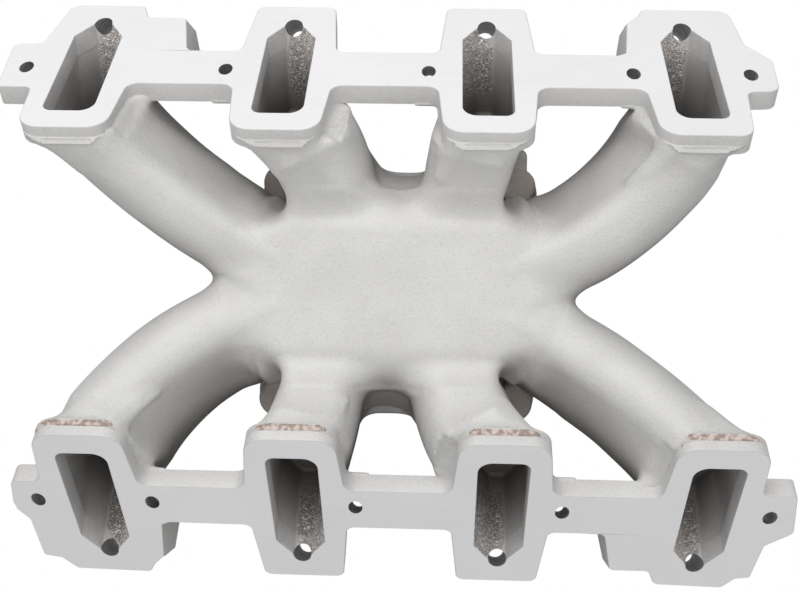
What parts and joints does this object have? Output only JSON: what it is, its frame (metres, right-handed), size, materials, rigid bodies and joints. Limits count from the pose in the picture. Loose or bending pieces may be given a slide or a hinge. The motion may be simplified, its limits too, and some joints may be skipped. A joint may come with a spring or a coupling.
{
  "type": "intake manifold",
  "caption": "Cast aluminium single-plane intake manifold: curved runners join a central plenum and carburettor flange to two angled head flanges with tall ports and injector bores.",
  "frame": {"origin": "centre of the carburettor face, directly below the middle of the bounding box", "axes": "+Z from the carburettor face towards the engine, so the manifold lies upside down; +X along the crankshaft"},
  "size_m": [0.4404, 0.3358, 0.1289],
  "materials": {
    "machined_aluminium": "fine milled, near white, semi-matte",
    "cast_aluminium": "sand-cast skin, fine grain, light warm grey, matte",
    "rough_cast_aluminium": "coarse sand-cast skin, brownish grey, matte"
  },
  "bodies": {
    "root": {"flange_pad_a1": "machined_aluminium", "runner_a1": "cast_aluminium", "runner_throat_a1": "cast_aluminium", "injector_boss_a1": "rough_cast_aluminium", "flange_pad_a2": "machined_aluminium", "runner_a2": "cast_aluminium", "injector_boss_a2": "rough_cast_aluminium", "flange_pad_a3": "machined_aluminium", "runner_a3": "cast_aluminium", "injector_boss_a3": "rough_cast_aluminium", "flange_pad_a4": "machined_aluminium", "runner_a4": "cast_aluminium", "runner_throat_a4": "cast_aluminium", "injector_boss_a4": "rough_cast_aluminium", "rail_bar_a1": "machined_aluminium", "rail_bar_a2": "machined_aluminium", "rail_bar_a3": "machined_aluminium", "bolt_boss_a1": "rough_cast_aluminium", "bolt_boss_a2": "rough_cast_aluminium", "bolt_boss_a3": "rough_cast_aluminium", "bolt_boss_a4": "rough_cast_aluminium", "bolt_boss_a5": "rough_cast_aluminium", "end_tab_a1": "machined_aluminium", "bracket_lug_a1": "machined_aluminium", "end_tab_a2": "machined_aluminium", "bracket_lug_a2": "machined_aluminium", "flange_pad_b1": "machined_aluminium", "runner_b1": "cast_aluminium", "runner_throat_b1": "cast_aluminium", "injector_boss_b1": "rough_cast_aluminium", "flange_pad_b2": "machined_aluminium", "runner_b2": "cast_aluminium", "injector_boss_b2": "rough_cast_aluminium", "flange_pad_b3": "machined_aluminium", "runner_b3": "cast_aluminium", "injector_boss_b3": "rough_cast_aluminium", "flange_pad_b4": "machined_aluminium", "runner_b4": "cast_aluminium", "runner_throat_b4": "cast_aluminium", "injector_boss_b4": "rough_cast_aluminium", "rail_bar_b1": "machined_aluminium", "rail_bar_b2": "machined_aluminium", "rail_bar_b3": "machined_aluminium", "bolt_boss_b1": "rough_cast_aluminium", "bolt_boss_b2": "rough_cast_aluminium", "bolt_boss_b3": "rough_cast_aluminium", "bolt_boss_b4": "rough_cast_aluminium", "bolt_boss_b5": "rough_cast_aluminium", "end_tab_b1": "machined_aluminium", "bracket_lug_b1": "machined_aluminium", "end_tab_b2": "machined_aluminium", "bracket_lug_b2": "machined_aluminium", "plenum": "cast_aluminium", "carburettor_flange": "machined_aluminium"}
  },
  "joints": []
}
